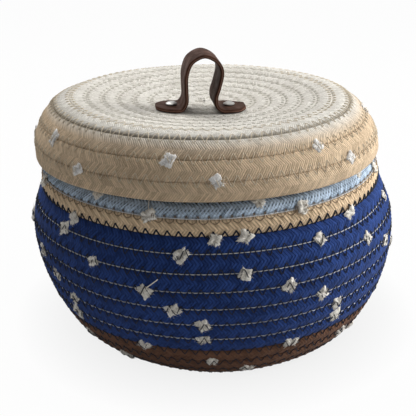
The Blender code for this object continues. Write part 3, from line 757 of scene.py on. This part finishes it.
def thread_material(name, colour):
    """Twisted thread: fine slanted turns in its tone and relief."""
    made, tree, shader = new_material(name, 0.7, gloss=0.3)
    where = add(tree, "ShaderNodeUVMap", uv_map="along")
    slant = add(tree, "ShaderNodeMapping", {"Vector": where.outputs[0], "Rotation": (0, 0, THREAD_SLANT)})
    ply = add(tree, "ShaderNodeTexWave", {"Vector": slant.outputs[0], "Scale": 500.0, "Distortion": 1.0})
    deep = tuple(THREAD_DEEP_SHARE * part for part in colour)
    tree.links.new(mixed(tree, ply.outputs["Fac"], deep, colour), shader.inputs["Base Color"])
    emboss(tree, shader, ply.outputs["Fac"], 0.6, 0.0001)
    return made


dark_thread = thread_material("dark_thread", (0.009, 0.011, 0.022))
natural_thread = thread_material("natural_thread", (0.30, 0.21, 0.13))
slate_thread = thread_material("slate_thread", (0.055, 0.058, 0.066))
body_start, body_end = BODY_FIRST + THREAD_LATE, BODY_LAST - 1 - COLOUR_LAG
band_start, band_end = BAND_FIRST - 1 - COLOUR_LAG, NECK_FIRST - 1 - COLOUR_LAG
neck_start = NECK_FIRST - COLOUR_LAG
for name, first, last, radius, cotton, outside in (
        ("dark_seam_thread", body_start, band_start, THREAD_RADIUS, dark_thread, 1),
        ("band_seam_thread", band_start, band_end, BAND_THREAD_RADIUS, dark_thread, 1),
        ("neck_seam_thread", band_end, neck_start, FINE_THREAD_RADIUS, natural_thread, 1),
        ("slate_seam_thread", neck_start, body_end, THREAD_RADIUS, slate_thread, 1),
        ("dark_bobbin_thread", body_start, neck_start, THREAD_RADIUS, dark_thread, -1),
        ("slate_bobbin_thread", neck_start, body_end, THREAD_RADIUS, slate_thread, -1)):
    made = zigzag(name, body_coil, first, last, radius, body_tufts if outside > 0 else (), outside)
    made.data.materials.append(cotton)
    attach(made, "basket")


# Lid. A second rope of undyed cotton is wound out from the middle to a shallow dish, turns over at
# the edge and runs down as a rim that caps the basket's neck. The top is painted paler than the rim:
# painted light on the top and painted shade on the rim of one rope. Cream thread closes the seams of
# the top, and tan thread those of its edge and the rim.
LID_DISC_LEANS = (89, 89, 88, 87, 85, 84, 83, 83, 95)
LID_RIM_LEANS = (143, 158, 179, 179)
LID_EDGE_HEIGHT = 0.1510
LID_SHIFT = -0.0015
LID_DRAWN = 0.0028
LID_START = 0.23 * ROW_PITCH
LID_FIRST, LID_YARN_FIRST, LID_LAST = 0.0, 9.5, 12.5
LID_YARN_LAST, LID_TUFTS_LAST = 11.38, 11.5
# Ramp by turn from the top's painted light (0) to the rim's painted shade (1).
LID_RIM_SHADE_RAMP = ((9.5, 10.15), (0.0, 1.0))
LID_TAN_FIRST = 7.6
LID_TUFTS = ((10, (-146, -100, -52)), (11, (-130, -86, -40)))
LID_YARN_RADIUS = 0.00030
LID_YARN_LIFT = 0.0025
WHITE_COTTON, WHITE_COTTON_DEEP = (0.950, 0.930, 0.900), (0.660, 0.630, 0.590)
# The cream colours are the lid's top with painted light, the tan colours its rim with painted shade, of
# one undyed rope.
LIT_CREAM, LIT_CREAM_DEEP = (0.880, 0.848, 0.778), (0.400, 0.362, 0.300)
SHADED_TAN, SHADED_TAN_DEEP = (0.860, 0.665, 0.452), (0.280, 0.190, 0.115)

cream_thread = thread_material("cream_thread", (0.80, 0.75, 0.65))
tan_thread = thread_material("tan_thread", (0.84, 0.72, 0.54))
rise = sum(ROW_PITCH * math.cos(math.radians(lean)) for lean in LID_DISC_LEANS)
lid_coil = Coil(LID_START, LID_EDGE_HEIGHT - rise, LID_DISC_LEANS + LID_RIM_LEANS, -1, LID_SHIFT,
                LID_FIRST, LID_LAST, LID_DRAWN, LID_SQUARENESS, LID_STRAND)
made = rope("braided_lid_rope", lid_coil, LID_FIRST, LID_LAST, LID_RIM_SHADE_RAMP)
made.data.materials.append(rope_material("cream_cotton", LIT_CREAM, LIT_CREAM_DEEP, spread=0.5, gap=0.5, holes=1.0,
                                         relief=0.00035, rim=(SHADED_TAN, SHADED_TAN_DEEP)))
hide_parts("lid_rope")
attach(made, "lid")
made = yarn("seam_yarn_lid", lid_coil, LID_YARN_FIRST, LID_YARN_LAST, LID_YARN_RADIUS, LID_YARN_LIFT)
made.data.materials.append(tan_thread)
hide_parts("tufted_yarn_lid")
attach(made, "lid")
lid_tufts = tuft_turns(lid_coil, LID_YARN_FIRST, LID_TUFTS_LAST, LID_TUFTS)
made = tufts("tufts_lid", lid_coil, lid_tufts, TUFT_SEED + 1)
made.data.materials.append(cotton_material("white_cotton", WHITE_COTTON, WHITE_COTTON_DEEP))
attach(made, "lid")
lid_start, lid_end = LID_FIRST + THREAD_LATE, LID_LAST - 1 - COLOUR_LAG
for name, first, last, radius, cotton, outside in (
        ("cream_seam_thread", lid_start, LID_TAN_FIRST, FINE_THREAD_RADIUS, cream_thread, 1),
        ("tan_seam_thread", LID_TAN_FIRST, lid_end, FINE_THREAD_RADIUS, tan_thread, 1),
        ("tan_bobbin_thread", lid_start, lid_end, THREAD_RADIUS, tan_thread, -1)):
    made = zigzag(name, lid_coil, first, last, radius, lid_tufts if outside > 0 else (), outside)
    made.data.materials.append(cotton)
    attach(made, "lid")


# Leather pull. A strap of thick dark leather is bent into a loop, and its two rounded feet lie
# flat on the lid, each under a domed screw. Its cut edges are dyed dark, with a fine pale line
# along their middle.
STRAP_WIDTH = 0.0250
STRAP_THICKNESS = 0.0023
STRAP_HALF_SPAN = 0.0282
STRAP_RISE = 0.0339
STRAP_TWIST = math.radians(9)
STRAP_NOSE_SHARE = 0.06
STRAP_STEPS = 220
STRAP_PATH_SHARES = (
    (-1.0, 0.0), (-0.83, 0.0), (-0.66, 0.0), (-0.5, 0.0), (-0.41, 0.04), (-0.34, 0.17), (-0.345, 0.41),
    (-0.333, 0.65), (-0.22, 0.88), (0.057, 1.0), (0.333, 0.9), (0.436, 0.71), (0.376, 0.44),
    (0.305, 0.24), (0.33, 0.08), (0.46, 0.0), (0.58, 0.0), (0.72, 0.0), (0.86, 0.0), (1.0, 0.03))
FACE_SHARES = (0.75, 0.5, 0.25, 0, -0.25, -0.5, -0.75)
EDGE_LINE_SHARES = (0, 0, 0, 0, 1, 0, 0, 0, 0)
LEATHER, LEATHER_WORN, LEATHER_EDGE = (0.045, 0.021, 0.014), (0.090, 0.043, 0.029), (0.210, 0.120, 0.090)


def smooth_curve(points, count):
    """Points on the Catmull-Rom curve through a list of points."""
    points = np.array(points)
    padded = np.concatenate([points[:1], points, points[-1:]])
    at = np.linspace(0, len(points) - 1, count)
    index = np.minimum(at.astype(int), len(points) - 2)
    t = (at - index)[:, None]
    a, b, c, d = (padded[index + shift] for shift in range(4))
    bent = (2 * a - 5 * b + 4 * c - d) * t ** 2 + (3 * b - a - 3 * c + d) * t ** 3
    return (2 * b + (c - a) * t + bent) / 2


def strap_surface(name, middle_x, middle_y, foot):
    """The strap: its middle line is the loop's curve, its half width narrows round each foot as a
    circle, and its section is a flat bar with round edges."""
    path = smooth_curve(STRAP_PATH_SHARES, STRAP_STEPS) * (STRAP_HALF_SPAN, STRAP_RISE)
    length = lengths_along(path)
    ahead = np.gradient(path, axis=0)
    ahead /= np.linalg.norm(ahead, axis=1, keepdims=True)
    nose, edge = STRAP_WIDTH / 2, STRAP_THICKNESS / 2
    end = np.minimum(length, length[-1] - length) + STRAP_NOSE_SHARE * nose
    half = np.maximum(nose * np.sqrt(1 - (1 - np.minimum(end / nose, 1)) ** 2) - edge, 0)[:, None]
    bend = np.radians(np.linspace(-90, 90, len(EDGE_LINE_SHARES)))
    fill, line = np.array(FACE_SHARES), np.array(EDGE_LINE_SHARES)
    across = np.concatenate([half + edge * np.cos(bend), half * fill, -half - edge * np.cos(bend),
                             half * fill[::-1]], axis=1)
    flat = np.ones(len(fill))
    lift = edge * np.concatenate([np.sin(bend), flat, -np.sin(bend), -flat])
    x = path[:, :1] - ahead[:, 1:] * lift - across * math.tan(STRAP_TWIST)
    z = path[:, 1:] + ahead[:, :1] * lift
    points = np.stack([middle_x + x, middle_y + across, foot + edge + z], axis=-1)
    # A pale line is coloured along the middle of each rounded edge.
    pale_edge_line = np.tile(np.concatenate([line, 0 * flat, line, 0 * flat]), (STRAP_STEPS, 1))
    section = points[STRAP_STEPS // 2]
    girth = lengths_along(np.append(section, section[:1], axis=0))
    return piece_from_grid(name, points, length, girth, (("pale_edge_line", pale_edge_line),))


def leather_material():
    """Waxed leather: pores and creases as cells, a paler rubbed face, and a line on the edges."""
    made, tree, shader = new_material("waxed_leather", 0.6, gloss=0.02)
    place = add(tree, "ShaderNodeTexCoord")
    pores = add(tree, "ShaderNodeTexVoronoi", {"Vector": place.outputs["Object"], "Scale": 1400.0})
    rub = clouds(tree, 160.0, 6.0)
    tone = mixed(tree, ranged(tree, rub, 0.42, 0.68), LEATHER, LEATHER_WORN)
    pale_edge_line = add(tree, "ShaderNodeAttribute", attribute_name="pale_edge_line")
    tree.links.new(mixed(tree, pale_edge_line.outputs["Fac"], tone, LEATHER_EDGE), shader.inputs["Base Color"])
    tree.links.new(ranged(tree, rub, 0.3, 0.7, 0.60, 0.42), shader.inputs["Roughness"])
    emboss(tree, shader, sums(tree, "ADD", rub, pores.outputs["Distance"]), 0.4, 0.0002)
    return made


strap_low, strap_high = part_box("handle_strap")
left_low, left_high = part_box("handle_screw_left")
right_low, right_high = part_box("handle_screw_right")
screws_middle = (left_low.x + left_high.x + right_low.x + right_high.x) / 4
made = strap_surface("leather_pull", screws_middle, (strap_low.y + strap_high.y) / 2, strap_low.z)
made.data.materials.append(leather_material())
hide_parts("handle_strap")
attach(made, "lid")


# Fixings. Two domed steel screws go through the feet of the pull and through the lid, and each ends
# in a washer and a nut underneath, which the rim hides.
STEEL, STEEL_DEEP = (0.46, 0.45, 0.43), (0.17, 0.165, 0.155)


def steel_material():
    """Plated steel: small dull spots in its tone and its gloss."""
    made, tree, shader = new_material("plated_steel", 0.3, 1.0)
    spots = clouds(tree, 700.0, 4.0)
    tree.links.new(mixed(tree, spots, STEEL_DEEP, STEEL), shader.inputs["Base Color"])
    tree.links.new(ranged(tree, spots, 0.3, 0.7, 0.3, 0.6), shader.inputs["Roughness"])
    return made


plated_steel = steel_material()
for kind in ("screw", "washer", "nut"):
    for word in ("left", "right"):
        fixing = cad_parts[f"handle_{kind}_{word}"]
        fixing.data.materials.clear()
        fixing.data.materials.append(plated_steel)


# Studio: a plain white floor that darkens a little round what stands on it, a soft window light
# from the right, a weaker one from above and behind, and the camera.
CAMERA_SIDE = 0.0088
CAMERA_DISTANCE = 0.533
CAMERA_HEIGHT = 0.287
CAMERA_PITCH = math.radians(21.83)
CAMERA_YAW = math.radians(-1.29)
CAMERA_ROLL = math.radians(-0.22)
FOCAL_PIXELS = 827
PICTURE_PIXELS = 416
FLOOR_HALF = 4
FLOOR_GREY = 0.62
FLOOR_GLOW = 0.97
SHADOW_REACH, SHADOW_LEVEL = 0.04, 0.84
SKY, SKY_STRENGTH = (0.97, 0.98, 1.0), 0.22
WHITE = (1.0, 1.0, 1.0, 1.0)

scene = bpy.context.scene
scene.view_settings.view_transform = "Standard"
lens = bpy.data.cameras.new("camera")
lens.lens = FOCAL_PIXELS / PICTURE_PIXELS * lens.sensor_width
camera = bpy.data.objects.new("camera", lens)
scene.collection.objects.link(camera)
camera.matrix_world = (Matrix.Translation((CAMERA_SIDE, -CAMERA_DISTANCE, CAMERA_HEIGHT))
                       @ Matrix.Rotation(-CAMERA_YAW, 4, "Z")
                       @ Matrix.Rotation(math.pi / 2 - CAMERA_PITCH, 4, "X")
                       @ Matrix.Rotation(CAMERA_ROLL, 4, "Z"))
scene.camera = camera


def backdrop_ray(tree):
    """One where the camera looks, or a mirror or glass shows, the backdrop; zero for its light."""
    ray = add(tree, "ShaderNodeLightPath")
    seen = sums(tree, "MAXIMUM", ray.outputs["Is Camera Ray"], ray.outputs["Is Glossy Ray"])
    return sums(tree, "MAXIMUM", seen, ray.outputs["Is Transmission Ray"])


floor_mesh = bpy.data.meshes.new("floor")
corners = ((-1, -1), (1, -1), (1, 1), (-1, 1))
floor_mesh.from_pydata([(x * FLOOR_HALF, y * FLOOR_HALF, 0) for x, y in corners], [], [(0, 1, 2, 3)])
floor = bpy.data.objects.new("floor", floor_mesh)
scene.collection.objects.link(floor)
paper = bpy.data.materials.new("white_paper")
paper.use_nodes = True
tree = paper.node_tree
tree.nodes.clear()
matt = add(tree, "ShaderNodeBsdfDiffuse", {"Color": (FLOOR_GREY, FLOOR_GREY, FLOOR_GREY, 1)})
# Ambient occlusion dims the floor's glow near the basket: a painted contact shadow over the faint real
# one.
shade = add(tree, "ShaderNodeAmbientOcclusion", {"Distance": SHADOW_REACH})
open_share = ranged(tree, shade.outputs["AO"], 0.0, 1.0, SHADOW_LEVEL, 1.0)
glow = add(tree, "ShaderNodeEmission", {"Color": WHITE, "Strength": open_share})
seen = sums(tree, "MULTIPLY", backdrop_ray(tree), FLOOR_GLOW)
blend = add(tree, "ShaderNodeMixShader", {0: seen, 1: matt.outputs[0], 2: glow.outputs[0]})
add(tree, "ShaderNodeOutputMaterial", {0: blend.outputs[0]})
floor_mesh.materials.append(paper)

world = bpy.data.worlds.new("studio")
scene.world = world
world.use_nodes = True
tree = world.node_tree
tree.nodes.clear()
dim = add(tree, "ShaderNodeBackground", {"Color": (*SKY, 1), "Strength": SKY_STRENGTH})
bright = add(tree, "ShaderNodeBackground", {"Color": WHITE, "Strength": 1.0})
blend = add(tree, "ShaderNodeMixShader", {0: backdrop_ray(tree), 1: dim.outputs[0], 2: bright.outputs[0]})
add(tree, "ShaderNodeOutputWorld", {0: blend.outputs[0]})


def softbox(name, place, target, size, power):
    """A square white lamp that faces a point."""
    lamp = bpy.data.lights.new(name, "AREA")
    lamp.size = size
    lamp.energy = power
    box = bpy.data.objects.new(name, lamp)
    scene.collection.objects.link(box)
    aim = Vector(target) - Vector(place)
    box.matrix_world = Matrix.Translation(place) @ aim.to_track_quat("-Z", "Y").to_matrix().to_4x4()


softbox("window", place=(0.99, 0.10, 0.55), target=(0, 0, 0.08), size=0.9, power=17.2)
softbox("top_back", place=(-0.35, 0.50, 1.00), target=(0, 0, 0.1), size=0.7, power=8.5)
